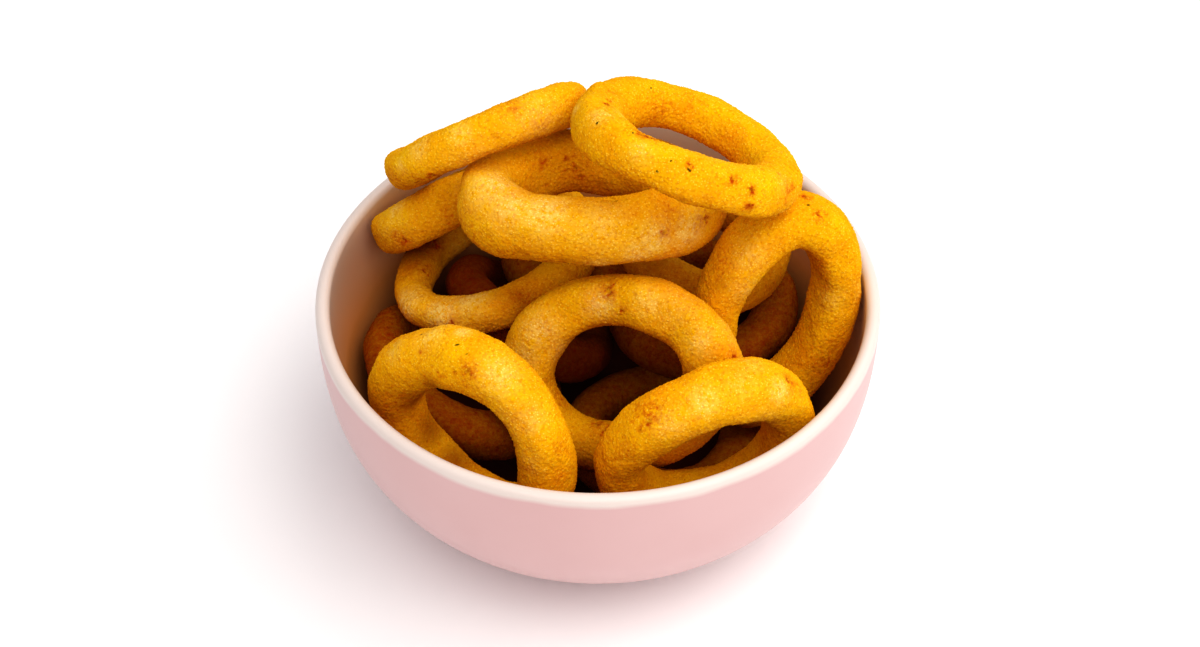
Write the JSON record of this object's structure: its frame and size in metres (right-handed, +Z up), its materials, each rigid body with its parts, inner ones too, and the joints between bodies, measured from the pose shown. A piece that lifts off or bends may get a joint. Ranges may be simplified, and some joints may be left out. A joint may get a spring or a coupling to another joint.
{
  "type": "bowl of onion rings",
  "caption": "Round glazed bowl, pink outside and cream inside, heaped with loose crumbed and fried onion rings.",
  "frame": {"origin": "middle of the bowl's foot ring, on the table", "axes": "+Z up through the bowl's middle, +X to the right and -Y to the front as the heap is shown"},
  "size_m": [0.155, 0.155, 0.1284],
  "materials": {
    "glaze": "satin pink glazed stoneware, cream white inside and over the lip",
    "crust": "fine golden breadcrumb crust with darker brown fried spots, dry and matt"
  },
  "bodies": {
    "root": {"bowl": "glaze", "ring_top_right": "crust", "ring_top_left": "crust", "ring_centre_high": "crust", "ring_left_upper": "crust", "ring_left_middle": "crust", "ring_centre_arch": "crust", "ring_front_left": "crust", "ring_front_right": "crust", "ring_right": "crust", "ring_right_behind": "crust", "ring_back": "crust", "ring_low_right": "crust", "ring_low_back": "crust", "ring_low_left": "crust", "ring_bottom_right": "crust"}
  },
  "joints": []
}
